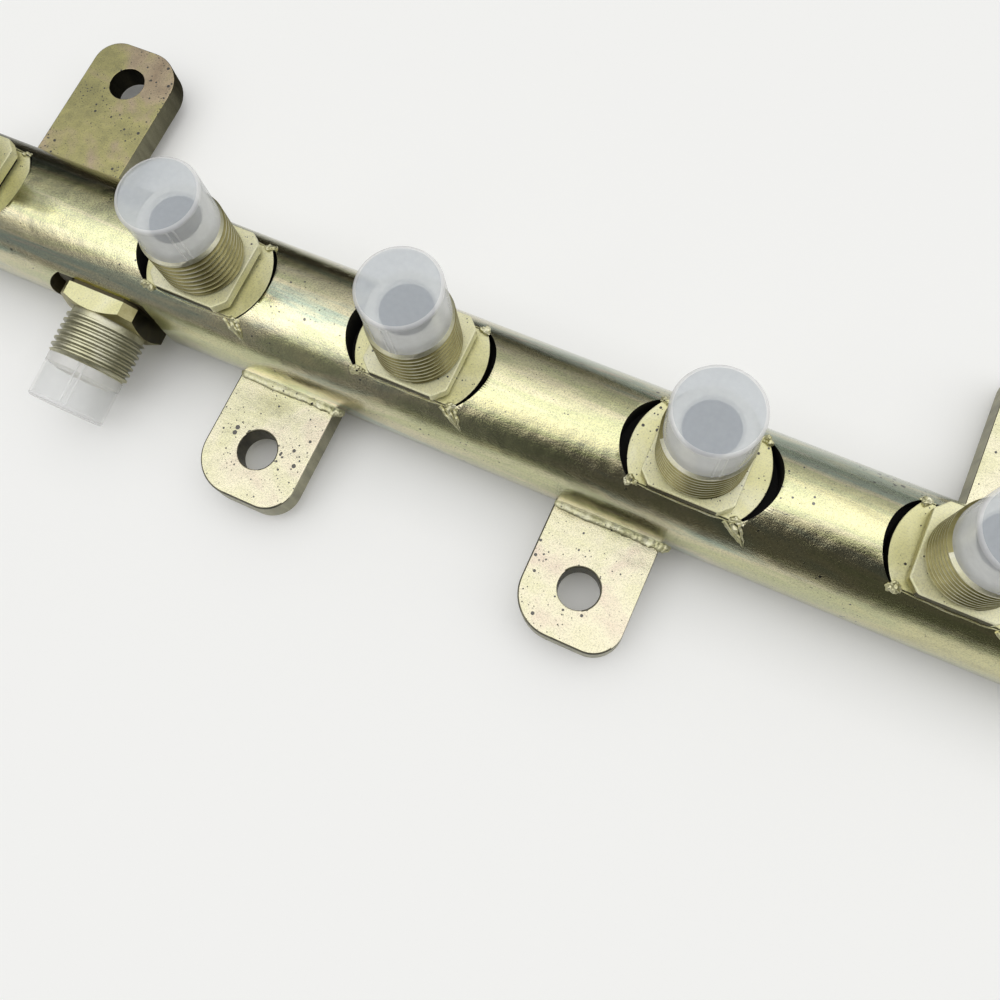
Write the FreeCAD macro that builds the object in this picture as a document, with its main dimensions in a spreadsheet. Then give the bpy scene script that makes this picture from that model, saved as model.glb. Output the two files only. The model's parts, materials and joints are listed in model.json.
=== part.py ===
import FreeCAD, Part
import math
import os
import re
import Sketcher

# A common-rail fuel rail: a thick round tube with screwed connectors set into
# milled pockets, plastic transport caps on the connectors, four welded fixing
# tabs and a round plug brazed into each end of the tube.
# Frame: +X along the tube, +Z out along the row of top connectors. The origin
# is midway between the two front tab holes, on the underside of the tabs.
# All sizes are in millimetres, angles in degrees.

SIZES = [
    # Tube
    ("rail_diameter", 30.0),
    ("main_bore", 10.0),
    ("rail_tail", 22.8),
    ("plug_hole_wall", 0.7),
    # Places along the tube, measured from the middle of the hole pattern
    ("port_1_place", -123.8),
    ("port_2_place", -60.15),
    ("port_3_place", -9.05),
    ("port_4_place", 51.25),
    ("port_5_place", 103.3),
    ("side_port_place", -83.3),
    ("side_port_dip", 5.0),
    # Milled pockets: heights are distances from the tube's axis
    ("pocket_reach", 16.0),
    ("pocket_end_radius", 10.7),
    ("pocket_floor", 8.0),
    ("pocket_side_gap", 0.05),
    ("pocket_end_gap", 0.06),
    # Connector: round flange with two flats, clipped square collar, stub
    ("flange_radius", 14.0),
    ("flange_top", 12.1),
    ("collar_flats", 19.0),
    ("collar_clip", 2.4),
    ("collar_height", 3.4),
    ("side_collar_height", 5.2),
    ("side_collar_bevel", 30.0),
    ("undercut_height", 0.45),
    ("undercut_depth", 0.6),
    ("thread_diameter", 17.88),
    ("thread_end", 28.5),
    ("nose_diameter", 15.8),
    ("nose_length", 2.0),
    ("fuel_drilling", 3.0),
    # Plastic transport cap
    ("cap_clearance", 0.05),
    ("cap_wall", 0.5),
    ("cap_length", 10.7),
    ("cap_end_wall", 0.9),
    # Fixing tabs and their welds
    ("front_hole_pitch", 77.2),
    ("rear_hole_pitch", 232.0),
    ("front_hole_reach", 29.7),
    ("rear_hole_reach", 42.8),
    ("front_end_margin", 11.8),
    ("rear_end_margin", 10.6),
    ("tab_width", 24.0),
    ("tab_thickness", 6.0),
    ("tab_top_drop", 5.0),
    ("tab_hole", 9.0),
    ("tab_large_round", 9.5),
    ("tab_small_round", 6.5),
    ("weld_gap", 0.04),
    ("weld_leg", 1.7),
    ("weld_rise", 2.2),
    ("weld_crown_leg", 0.6),
    ("weld_crown_rise", 1.0),
    ("weld_overrun", 1.2),
    # End plugs
    ("plug_diameter", 14.0),
    ("plug_length", 10.0),
    ("plug_clearance", 0.05),
    ("plug_hole_depth", 11.5),
]

DERIVED = [
    ("rail_radius", "rail_diameter / 2"),
    # The left end clears the last pocket, the right end the last tab
    ("rail_left", "port_1_place - pocket_reach - plug_hole_wall - plug_hole_depth"),
    ("rail_right", "rear_hole_pitch / 2 + tab_width / 2 + weld_overrun + rail_tail"),
    # Tube axis seen from the origin
    ("axis_back", "front_hole_reach"),
    ("axis_up", "tab_top_drop + tab_thickness"),
    # The flange's flats lie where the tube's round side passes its top face
    ("flange_half_width", "sqrt(rail_radius ^ 2 - flange_top ^ 2)"),
    ("pocket_half_width", "flange_half_width + pocket_side_gap"),
    ("pocket_end_centre", "pocket_reach - pocket_end_radius"),
    ("side_bevel_foot", "collar_flats / 2 + side_collar_height / tan(side_collar_bevel * 1deg)"),
    ("nose_end", "thread_end + nose_length"),
    ("cap_inner", "nose_diameter / 2 + cap_clearance"),
    ("cap_outer", "cap_inner + cap_wall"),
    ("cap_end", "thread_end + cap_length"),
    # Where the tabs' top and bottom faces would meet the coped arc, from the tube's axis
    ("cope_radius", "rail_radius + weld_gap"),
    ("tab_top_root", "sqrt(cope_radius ^ 2 - tab_top_drop ^ 2)"),
    ("tab_low_root", "sqrt(cope_radius ^ 2 - axis_up ^ 2)"),
    ("plug_hole_radius", "plug_diameter / 2 + plug_clearance"),
]

doc = FreeCAD.newDocument("fuel_rail")
sheet = doc.addObject("Spreadsheet::Sheet", "Sizes")
WORDS = [name for name, value in SIZES + DERIVED]


def bound(text):
    # Size names in an expression become references to the sheet's cells
    return re.sub(r"[a-z][a-z0-9_]*", lambda found: "Sizes." + found.group()
                  if found.group() in WORDS else found.group(), text)


for row, (name, value) in enumerate(SIZES, start=1):
    sheet.set("A%d" % row, name)
    sheet.set("B%d" % row, repr(value))
    sheet.setAlias("B%d" % row, name)
doc.recompute()
for row, (name, rule) in enumerate(DERIVED, start=len(SIZES) + 1):
    sheet.set("A%d" % row, name)
    sheet.set("B%d" % row, "=" + rule)
    sheet.setAlias("B%d" % row, name)
doc.recompute()


def value_of(text):
    return float(sheet.evalExpression(bound(text)))


# Helpers: one binds properties, the others add bound primitives and profiles

def bind(item, **rules):
    for prop, rule in rules.items():
        item.setExpression(prop, bound(rule))
    return item


def place(item, x="0", y="0", z="0", axis=None, angle="0"):
    item.setExpression("Placement.Base.x", bound(x))
    item.setExpression("Placement.Base.y", bound(y))
    item.setExpression("Placement.Base.z", bound(z))
    if axis is not None:
        item.Placement = FreeCAD.Placement(FreeCAD.Vector(), FreeCAD.Rotation(axis, 1))
        item.setExpression("Placement.Rotation.Angle", bound(angle))
    return item


def cylinder(name, radius, height):
    return bind(doc.addObject("Part::Cylinder", name), Radius=radius, Height=height)


def box(name, length, width, height):
    return bind(doc.addObject("Part::Box", name), Length=length, Width=width, Height=height)


def cone(name, low_radius, high_radius, height):
    return bind(doc.addObject("Part::Cone", name), Radius1=low_radius, Radius2=high_radius, Height=height)


def cut(name, base, tool):
    item = doc.addObject("Part::Cut", name)
    item.Base = base
    item.Tool = tool
    return item


def fuse(name, pieces):
    item = doc.addObject("Part::MultiFuse", name)
    item.Shapes = pieces
    return item


def common(name, pieces):
    item = doc.addObject("Part::MultiCommon", name)
    item.Shapes = pieces
    return item


def group(name, pieces):
    # Separate solids that are alike and share one node
    item = doc.addObject("Part::Compound", name)
    item.Links = pieces
    return item


def origin_plane(body, role):
    for item in body.Origin.OriginFeatures:
        if item.Role == role:
            return item


def fix_point(sketch, edge, end, x_rule, y_rule):
    # A point is held by its two distances from the sketch's own axes
    for kind, rule, along in (("DistanceX", x_rule, -2), ("DistanceY", y_rule, -1)):
        if rule == "0":
            sketch.addConstraint(Sketcher.Constraint("PointOnObject", edge, end, along))
        else:
            index = sketch.addConstraint(Sketcher.Constraint(kind, -1, 1, edge, end, value_of(rule)))
            sketch.setExpression("Constraints[%d]" % index, bound(rule))


def outline(sketch, corners):
    # A closed outline of straight edges through named corners
    points = [FreeCAD.Vector(value_of(x), value_of(y), 0) for x, y in corners]
    for number, point in enumerate(points):
        after = points[(number + 1) % len(points)]
        sketch.addGeometry(Part.LineSegment(point, after), False)
    for number in range(len(points)):
        after = (number + 1) % len(points)
        sketch.addConstraint(Sketcher.Constraint("Coincident", number, 2, after, 1))
    for number, (x_rule, y_rule) in enumerate(corners):
        fix_point(sketch, number, 1, x_rule, y_rule)


def new_sketch(body, name, role):
    sketch = body.newObject("Sketcher::SketchObject", name)
    sketch.AttachmentSupport = [(origin_plane(body, role), "")]
    sketch.MapMode = "FlatFace"
    return sketch


def turned(name, corners):
    # A turned piece: half its section in the XZ plane, spun about Z
    body = doc.addObject("PartDesign::Body", name)
    sketch = new_sketch(body, name + "_section", "XZ_Plane")
    outline(sketch, corners)
    spin = body.newObject("PartDesign::Revolution", name + "_turning")
    spin.Profile = sketch
    spin.ReferenceAxis = (sketch, ["V_Axis"])
    spin.Angle = 360
    return body


parts = {}


def hand_in(node, item):
    item.Label = node
    parts[node] = item


# Pockets and fuel drillings, cut into the tube around each port

def pocket_tool(name):
    # Two round ends and two straight sides, from the floor outwards
    left = place(cylinder(name + "_left", "pocket_end_radius", "rail_radius"), x="-pocket_end_centre",
                 z="pocket_floor")
    right = place(cylinder(name + "_right", "pocket_end_radius", "rail_radius"), x="pocket_end_centre",
                  z="pocket_floor")
    middle = place(box(name + "_middle", "2 * pocket_end_centre", "2 * pocket_end_radius", "rail_radius"),
                   x="-pocket_end_centre", y="-pocket_end_radius", z="pocket_floor")
    sides = place(box(name + "_sides", "2 * pocket_reach", "2 * pocket_half_width", "rail_radius"),
                  x="-pocket_reach", y="-pocket_half_width", z="pocket_floor")
    pocket = common(name + "_pocket", [fuse(name + "_round", [left, right, middle]), sides])
    drilling = cylinder(name + "_drilling", "fuel_drilling / 2", "rail_radius")
    return fuse(name, [pocket, drilling])


# Ports: name, place along the tube, and how far each is turned about the tube
PORTS = [("1", "port_1_place", "0"), ("2", "port_2_place", "0"), ("3", "port_3_place", "0"),
         ("4", "port_4_place", "0"), ("5", "port_5_place", "0"),
         ("side", "side_port_place", "90 + side_port_dip")]
ALONG = FreeCAD.Vector(1, 0, 0)
ACROSS = FreeCAD.Vector(0, 1, 0)
UPWARD = FreeCAD.Vector(0, 0, 1)


def on_port(item, along, turn):
    # The port's own frame: its origin on the tube's axis, its Z out of the tube
    return place(item, x=along, y="axis_back", z="axis_up", axis=ALONG, angle=turn)


# Tube: turned in one piece with its bore and plug holes
tube_blank = turned("rail_blank", [
    ("main_bore / 2", "rail_left + plug_hole_depth"),
    ("plug_hole_radius", "rail_left + plug_hole_depth"),
    ("plug_hole_radius", "rail_left"),
    ("rail_radius", "rail_left"),
    ("rail_radius", "rail_right"),
    ("plug_hole_radius", "rail_right"),
    ("plug_hole_radius", "rail_right - plug_hole_depth"),
    ("main_bore / 2", "rail_right - plug_hole_depth"),
])
place(tube_blank, y="axis_back", z="axis_up", axis=ACROSS, angle="90")
port_tools = [on_port(pocket_tool("port_cut_" + name), along, turn) for name, along, turn in PORTS]
rail_tube = cut("rail_tube", tube_blank, fuse("port_cuts", port_tools))
hand_in("rail_tube", rail_tube)


# Connectors

def square_bar(name, flats, clip, low, height):
    # A square bar with clipped corners, standing on the given height
    body = doc.addObject("PartDesign::Body", name)
    sketch = new_sketch(body, name + "_section", "XY_Plane")
    half = "(%s) / 2" % flats
    short = "(%s) / 2 - %s" % (flats, clip)
    corners = []
    for x_sign, y_sign, x_first in ((1, -1, False), (1, 1, True), (-1, 1, False), (-1, -1, True)):
        on_x_side = ("%d * (%s)" % (x_sign, half), "%d * (%s)" % (y_sign, short))
        on_y_side = ("%d * (%s)" % (x_sign, short), "%d * (%s)" % (y_sign, half))
        corners += [on_x_side, on_y_side] if x_first else [on_y_side, on_x_side]
    outline(sketch, corners)
    pad = body.newObject("PartDesign::Pad", name + "_pad")
    pad.Profile = sketch
    pad.setExpression("Length", bound(height))
    return place(body, z=low)


def connector(name, collar_rise, is_side):
    disc = place(cylinder(name + "_disc", "flange_radius", "flange_top - pocket_floor"), z="pocket_floor")
    flats = place(box(name + "_flats", "2 * flange_radius", "2 * flange_half_width",
                      "flange_top - pocket_floor"), x="-flange_radius", y="-flange_half_width", z="pocket_floor")
    ends = []
    for side, centre in (("left", "-pocket_end_centre"), ("right", "pocket_end_centre")):
        ends.append(place(cylinder(name + "_end_" + side, "pocket_end_radius - pocket_end_gap", "flange_top"),
                          x=centre))
    bridge = place(box(name + "_bridge", "2 * pocket_end_centre", "2 * flange_half_width", "flange_top"),
                   x="-pocket_end_centre", y="-flange_half_width")
    flange = common(name + "_flange", [disc, flats, fuse(name + "_pocket_form", ends + [bridge])])
    undercut = square_bar(name + "_undercut", "collar_flats - 2 * undercut_depth", "collar_clip", "flange_top",
                          "undercut_height")
    collar = square_bar(name + "_collar", "collar_flats", "collar_clip", "flange_top + undercut_height",
                        collar_rise + " - undercut_height")
    if is_side:
        top_cone = place(cone(name + "_bevel", "side_bevel_foot", "collar_flats / 2", collar_rise),
                         z="flange_top")
        collar = common(name + "_turned_collar", [collar, top_cone])
    # The stub rises out of the middle of the collar
    stub_root = "flange_top + (%s) / 2" % collar_rise
    stub = turned(name + "_stub", [
        ("0", stub_root),
        ("thread_diameter / 2", stub_root),
        ("thread_diameter / 2", "thread_end"),
        ("nose_diameter / 2", "thread_end"),
        ("nose_diameter / 2", "nose_end"),
        ("0", "nose_end"),
    ])
    solid = fuse(name + "_solid", [flange, undercut, collar, stub])
    return cut(name, solid, cylinder(name + "_drilling", "fuel_drilling / 2", "nose_end"))


for name, along, turn in PORTS:
    is_side = name == "side"
    node = "side_connector" if is_side else "connector_" + name
    piece = connector(node, "side_collar_height" if is_side else "collar_height", is_side)
    hand_in(node, on_port(piece, along, turn))


# Transport caps: six thin cups, one pushed over each nose

def transport_cap(name):
    return turned(name, [
        ("cap_inner", "thread_end"),
        ("cap_outer", "thread_end"),
        ("cap_outer", "cap_end"),
        ("0", "cap_end"),
        ("0", "cap_end - cap_end_wall"),
        ("cap_inner", "cap_end - cap_end_wall"),
    ])


caps = [on_port(transport_cap("cap_" + name), along, turn) for name, along, turn in PORTS]
hand_in("transport_caps", group("transport_caps", caps))


# Fixing tabs: flat plates with two rounded outer corners, coped to the tube

def tab_plate(name, reach, margin):
    # Drawn pointing to -Y with the tube's axis through its origin
    body = doc.addObject("PartDesign::Body", name + "_plate")
    sketch = new_sketch(body, name + "_outline", "XY_Plane")
    end = "-(%s + %s)" % (reach, margin)
    half = "tab_width / 2"
    corners = [
        ("-" + half, "-main_bore / 2"),
        ("-" + half, end + " + tab_large_round"),
        ("-(%s - tab_large_round)" % half, end),
        ("%s - tab_small_round" % half, end),
        (half, end + " + tab_small_round"),
        (half, "-main_bore / 2"),
    ]
    points = [FreeCAD.Vector(value_of(x), value_of(y), 0) for x, y in corners]
    large = value_of("tab_large_round")
    small = value_of("tab_small_round")
    large_centre = FreeCAD.Vector(points[2].x, points[1].y, 0)
    small_centre = FreeCAD.Vector(points[3].x, points[4].y, 0)
    edges = [
        Part.LineSegment(points[0], points[1]),
        Part.ArcOfCircle(Part.Circle(large_centre, UPWARD, large), math.pi, 1.5 * math.pi),
        Part.LineSegment(points[2], points[3]),
        Part.ArcOfCircle(Part.Circle(small_centre, UPWARD, small), 1.5 * math.pi, 2 * math.pi),
        Part.LineSegment(points[4], points[5]),
        Part.LineSegment(points[5], points[0]),
    ]
    for edge in edges:
        sketch.addGeometry(edge, False)
    for first, after in ((0, 1), (1, 2), (2, 3), (3, 4), (4, 5), (5, 0)):
        sketch.addConstraint(Sketcher.Constraint("Coincident", first, 2, after, 1))
    for edge, (x_rule, y_rule) in enumerate(corners[:1] + corners[1:2] + corners[2:5]):
        fix_point(sketch, edge, 1, x_rule, y_rule)
    fix_point(sketch, 5, 1, corners[5][0], corners[5][1])
    for edge, rule in ((1, "tab_large_round"), (3, "tab_small_round")):
        index = sketch.addConstraint(Sketcher.Constraint("Radius", edge, value_of(rule)))
        sketch.setExpression("Constraints[%d]" % index, bound(rule))
    pad = body.newObject("PartDesign::Pad", name + "_pad")
    pad.Profile = sketch
    pad.setExpression("Length", bound("tab_thickness"))
    return body


def cope_tool(name):
    # The tube's round side with the weld gap round it
    return place(cylinder(name + "_cope", "cope_radius", "2 * tab_width"), x="-tab_width", z="axis_up",
                 axis=ACROSS, angle="90")


def tab(name, reach, margin):
    plate = tab_plate(name, reach, margin)
    hole = place(cylinder(name + "_hole", "tab_hole / 2", "tab_thickness"), y="-(%s)" % reach)
    return cut(name, plate, fuse(name + "_cuts", [hole, cope_tool(name)]))


def bead(name, corners):
    # One weld bead: its section lies across the tube and runs along the tab
    body = doc.addObject("PartDesign::Body", name)
    sketch = new_sketch(body, name + "_section", "YZ_Plane")
    outline(sketch, corners)
    pad = body.newObject("PartDesign::Pad", name + "_run")
    pad.Profile = sketch
    pad.setExpression("Length", bound("tab_width + 2 * weld_overrun"))
    pad.SideType = "Symmetric"
    return body


def upper_weld(name):
    run = bead(name + "_run", [
        ("-tab_top_root - weld_leg", "tab_thickness"),
        ("-tab_top_root - weld_crown_leg", "tab_thickness + weld_crown_rise"),
        ("-tab_top_root", "tab_thickness + weld_rise"),
        ("-tab_top_root + weld_leg", "tab_thickness + weld_rise"),
        ("-tab_top_root + weld_leg", "tab_thickness"),
    ])
    return cut(name, run, cope_tool(name))


def lower_weld(name):
    run = bead(name + "_run", [
        ("-tab_low_root - weld_leg", "0"),
        ("-tab_low_root + weld_leg", "0"),
        ("-tab_low_root + weld_leg", "-weld_rise"),
        ("-tab_low_root - weld_crown_leg", "-weld_crown_rise"),
    ])
    return cut(name, run, cope_tool(name))


# Tabs: name, place along the tube, hole reach, end margin, turn about +Z
TABS = [("front_left", "-front_hole_pitch / 2", "front_hole_reach", "front_end_margin", "0"),
        ("front_right", "front_hole_pitch / 2", "front_hole_reach", "front_end_margin", "0"),
        ("rear_left", "-rear_hole_pitch / 2", "rear_hole_reach", "rear_end_margin", "180"),
        ("rear_right", "rear_hole_pitch / 2", "rear_hole_reach", "rear_end_margin", "180")]

for name, along, reach, margin, turn in TABS:
    pieces = [("tab_" + name, tab("tab_" + name, reach, margin)),
              ("weld_%s_upper" % name, upper_weld("weld_%s_upper" % name)),
              ("weld_%s_lower" % name, lower_weld("weld_%s_lower" % name))]
    for node, piece in pieces:
        hand_in(node, place(piece, x=along, y="axis_back", axis=UPWARD, angle=turn))


# End plugs: plain round plugs, flush with the tube's ends

plugs = []
for name, along in (("plug_left", "rail_left"), ("plug_right", "rail_right - plug_length")):
    plugs.append(place(cylinder(name, "plug_diameter / 2", "plug_length"), x=along, y="axis_back",
                       z="axis_up", axis=ACROSS, angle="90"))
hand_in("end_plugs", group("end_plugs", plugs))

doc.recompute()

# Checks before anything is written
for item in doc.Objects:
    if "Invalid" in item.State or "Error" in item.State:
        raise RuntimeError("failed object: %s %s" % (item.Name, item.State))
for node, item in parts.items():
    if item.Shape.isNull() or not item.Shape.isValid():
        raise RuntimeError("bad shape: " + node)

os.makedirs("parts", exist_ok=True)
for node, item in parts.items():
    item.Shape.exportStep("parts/%s.step" % node)
    extent = item.Shape.BoundBox
    print("%-20s solids %d  volume %9.1f  x %.1f..%.1f  y %.1f..%.1f  z %.1f..%.1f" % (
        node, len(item.Shape.Solids), item.Shape.Volume, extent.XMin, extent.XMax, extent.YMin, extent.YMax,
        extent.ZMin, extent.ZMax))
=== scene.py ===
import json
import math

import bmesh
import bpy
from mathutils import Matrix, Vector, noise


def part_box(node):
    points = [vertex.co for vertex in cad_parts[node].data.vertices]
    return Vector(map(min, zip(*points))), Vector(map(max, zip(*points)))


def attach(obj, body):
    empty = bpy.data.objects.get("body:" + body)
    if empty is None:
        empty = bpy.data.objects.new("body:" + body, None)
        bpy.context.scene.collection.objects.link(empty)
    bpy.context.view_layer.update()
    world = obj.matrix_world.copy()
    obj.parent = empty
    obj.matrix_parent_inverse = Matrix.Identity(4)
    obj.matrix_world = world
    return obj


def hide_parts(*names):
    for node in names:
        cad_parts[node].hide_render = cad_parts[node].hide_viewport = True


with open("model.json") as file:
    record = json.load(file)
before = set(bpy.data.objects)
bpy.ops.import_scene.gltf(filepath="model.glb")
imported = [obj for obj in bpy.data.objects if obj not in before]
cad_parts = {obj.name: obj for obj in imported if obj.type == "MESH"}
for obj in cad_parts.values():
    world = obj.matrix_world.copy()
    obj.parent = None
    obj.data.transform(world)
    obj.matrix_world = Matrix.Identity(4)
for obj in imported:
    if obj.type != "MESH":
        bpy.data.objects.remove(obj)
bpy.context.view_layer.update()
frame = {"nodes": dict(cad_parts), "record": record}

# Metres everywhere. +X runs along the tube, +Z out along the top connectors.
MM = 0.001

# Sizes that repeat the solid's, each once
RAIL_RADIUS = 15 * MM
POCKET_REACH = 16 * MM
POCKET_END_RADIUS = 10.7 * MM
POCKET_FLOOR = 8 * MM
POCKET_HALF_WIDTH = 8.92 * MM
FLANGE_RADIUS = 14 * MM
FLANGE_HALF_WIDTH = 8.87 * MM
FLANGE_TOP = 12.1 * MM
COLLAR_FLATS = 19 * MM
COLLAR_CLIP = 2.4 * MM
UNDERCUT_HEIGHT = 0.8 * MM
UNDERCUT_DEPTH = 0.6 * MM
EDGE_BREAK = 0.2 * MM
TOP_COLLAR_HEIGHT = 3.4 * MM
SIDE_COLLAR_HEIGHT = 5.2 * MM
THREAD_RADIUS = 8.94 * MM
THREAD_ROOT_RADIUS = 8.15 * MM
THREAD_PITCH = 1.5 * MM
THREAD_END = 28.5 * MM
TOP_NECK_LENGTH = 0.5 * MM
SIDE_NECK_LENGTH = 1.3 * MM
# The lead chamfer and the last turn keep the pale crest colour: the painted shade of the flanks and roots stops
# there
THREAD_PALE_END = 0.7 * MM
NOSE_START = 22 * MM
NOSE_RADIUS = 7.9 * MM
NOSE_END = 30.5 * MM
SEAT_MOUTH_RADIUS = 5.5 * MM
DRILL_RADIUS = 1.5 * MM
CAP_RADIUS = 8.42 * MM
CAP_WALL = 0.5 * MM
CAP_END = 39.2 * MM
CAP_END_WALL = 0.9 * MM
CAP_EDGE_ROUND = 0.7 * MM
CAP_RIM_HEIGHT = 2.2 * MM
TAB_WIDTH = 24 * MM
TAB_THICKNESS = 6 * MM
TAB_HOLE_RADIUS = 4.5 * MM
TAB_ROOT = 9 * MM
TAB_LARGE_ROUND = 9.5 * MM
TAB_SMALL_ROUND = 6.5 * MM
FRONT_TAB_REACH = 41.5 * MM
REAR_TAB_REACH = 53.4 * MM
# Each bead starts at its tab's left edge and runs past the right one
WELD_OVERRUN = 1.1 * MM
# Place from the tube's axis, height, half width and half height
UPPER_BEAD = (14.1 * MM, TAB_THICKNESS + 0.05 * MM, 1.7 * MM, 0.65 * MM)
LOWER_BEAD = (10.4 * MM, -0.3 * MM, 1.2 * MM, 1.2 * MM)
PLUG_HOLE_RADIUS = 7.05 * MM
PLUG_HOLE_DEPTH = 11.5 * MM
SIDE_PORT_DIP = math.radians(5)

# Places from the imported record: the outlets' and the inlet's pins, the tab holes
mounts = {mount["name"]: mount for mount in frame["record"]["mounts"]}
AXIS_Y = mounts["outlet_1"]["pos_m"][1]
AXIS_Z = 11 * MM
TOP_PORTS = {number: mounts["outlet_%d" % number]["pos_m"][0] for number in range(1, 6)}
SIDE_PORT = mounts["side_inlet"]["pos_m"][0]
FRONT_PITCH = mounts["front_tab_holes"]["dims"]["spacing_x_mm"] * MM
REAR_PITCH = mounts["rear_tab_holes"]["dims"]["spacing_x_mm"] * MM
REAR_HOLES_Y = mounts["rear_tab_holes"]["pos_m"][1]
RAIL_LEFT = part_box("rail_tube")[0][0]
RAIL_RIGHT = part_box("rail_tube")[1][0]
FLOOR_HEIGHT = AXIS_Z - RAIL_RADIUS


# Modelling helpers

def deselect():
    bpy.ops.object.select_all(action="DESELECT")


def edit(piece, kind):
    # Opens a piece for editing with nothing selected; kind is VERT, EDGE or FACE
    deselect()
    piece.select_set(True)
    bpy.context.view_layer.objects.active = piece
    bpy.ops.object.mode_set(mode="EDIT")
    bpy.ops.mesh.select_mode(type=kind)
    bpy.ops.mesh.select_all(action="DESELECT")


def close():
    bpy.ops.object.mode_set(mode="OBJECT")


def pick(piece, kind, wanted):
    # Selects the vertices, edges or faces whose middle or normal passes a test
    shape = bmesh.from_edit_mesh(piece.data)
    if kind == "VERT":
        for vert in shape.verts:
            if wanted(vert.co):
                vert.select_set(True)
    elif kind == "EDGE":
        for edge in shape.edges:
            if wanted(edge.verts[0].co, edge.verts[1].co):
                edge.select_set(True)
    else:
        for face in shape.faces:
            if wanted(face.calc_center_median(), face.normal):
                face.select_set(True)
    bmesh.update_edit_mesh(piece.data)


def named(name):
    piece = bpy.context.active_object
    piece.name = name
    piece.data.name = name
    return piece


def settle(piece):
    # The place goes into the mesh and the object to the origin
    deselect()
    piece.select_set(True)
    bpy.context.view_layer.objects.active = piece
    bpy.ops.object.transform_apply(location=True, rotation=True, scale=True)
    return piece


def cylinder(name, radius, low, high, sides=96, at=(0, 0)):
    deselect()
    bpy.ops.mesh.primitive_cylinder_add(vertices=sides, radius=radius, depth=high - low,
                                        location=(at[0], at[1], (low + high) / 2))
    return settle(named(name))


def block(name, low, high):
    deselect()
    middle = [(a + b) / 2 for a, b in zip(low, high)]
    bpy.ops.mesh.primitive_cube_add(size=1, location=middle)
    piece = named(name)
    piece.scale = [b - a for a, b in zip(low, high)]
    return settle(piece)


def modify(piece, kind, **settings):
    # Adds one modifier and applies it
    deselect()
    piece.select_set(True)
    bpy.context.view_layer.objects.active = piece
    modifier = piece.modifiers.new(kind.title(), kind)
    for name, value in settings.items():
        setattr(modifier, name, value)
    bpy.ops.object.modifier_apply(modifier=modifier.name)
    return piece


def carve(piece, tool, operation="DIFFERENCE"):
    modify(piece, "BOOLEAN", object=tool, operation=operation, solver="EXACT")
    bpy.data.objects.remove(tool)
    return piece


def bevel(piece, width, segments=2, limit=40):
    return modify(piece, "BEVEL", width=width, segments=segments, limit_method="ANGLE",
                  angle_limit=math.radians(limit), harden_normals=False)


def slice_off(piece, place, normal):
    # Cuts the piece with a plane, drops the side that the normal points to, closes the cut
    edit(piece, "FACE")
    bpy.ops.mesh.select_all(action="SELECT")
    bpy.ops.mesh.bisect(plane_co=place, plane_no=normal, use_fill=True, clear_outer=True)
    close()
    return piece


def join(name, pieces):
    deselect()
    for piece in pieces:
        piece.select_set(True)
    bpy.context.view_layer.objects.active = pieces[0]
    bpy.ops.object.join()
    return named(name)


def smooth(piece, angle=35):
    deselect()
    piece.select_set(True)
    bpy.context.view_layer.objects.active = piece
    bpy.ops.object.shade_smooth_by_angle(angle=math.radians(angle))
    # Large flats keep their own normal, so a rounded edge doesn't shade them
    return modify(piece, "WEIGHTED_NORMAL", keep_sharp=True, weight=80)


def outward(piece):
    edit(piece, "FACE")
    bpy.ops.mesh.select_all(action="SELECT")
    bpy.ops.mesh.remove_doubles(threshold=0.000001)
    bpy.ops.mesh.normals_make_consistent(inside=False)
    close()
    return piece


def copy_of(piece, name, place):
    # A copy with its own mesh, moved by a matrix that goes into the mesh
    twin = piece.copy()
    twin.data = piece.data.copy()
    twin.data.transform(place)
    twin.name = name
    twin.data.name = name
    bpy.context.collection.objects.link(twin)
    return twin


def roughen(piece, amount, grain, seed, shares=None):
    # Pushes each point along its normal by smooth noise, so molten metal looks uneven
    shift = Vector((seed * 3.37, seed * 1.11, seed * 0.73))
    normals = [vert.normal.copy() for vert in piece.data.vertices]
    shares = shares or [1] * len(normals)
    for vert, normal, share in zip(piece.data.vertices, normals, shares):
        vert.co += normal * amount * share * noise.noise(vert.co / grain + shift)
    piece.data.update()
    return piece


# Materials

def colour(hex_text):
    # An sRGB hex value as the linear colour that a shader takes
    parts = [int(hex_text[i:i + 2], 16) / 255 for i in (1, 3, 5)]
    linear = [c / 12.92 if c <= 0.04045 else ((c + 0.055) / 1.055) ** 2.4 for c in parts]
    return (*linear, 1)


def add(tree, kind, links=None, stops=None, **settings):
    # Adds a node, its settings, its inputs (values or sockets) and its ramp stops
    node = tree.nodes.new(kind)
    for name, value in settings.items():
        setattr(node, name, value)
    for socket, value in (links or {}).items():
        if isinstance(value, bpy.types.NodeSocket):
            tree.links.new(value, node.inputs[socket])
        else:
            node.inputs[socket].default_value = value
    if stops:
        ramp = node.color_ramp.elements
        while len(ramp) < len(stops):
            ramp.new(0.5)
        for element, (position, shade) in zip(ramp, stops):
            element.position = position
            element.color = shade
    return node


def new_material(name):
    material = bpy.data.materials.new(name)
    material.use_nodes = True
    tree = material.node_tree
    tree.nodes.clear()
    shader = add(tree, "ShaderNodeBsdfPrincipled")
    output = add(tree, "ShaderNodeOutputMaterial", {"Surface": shader.outputs["BSDF"]})
    return material, tree, shader, output


WHITE = (1, 1, 1, 1)


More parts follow.
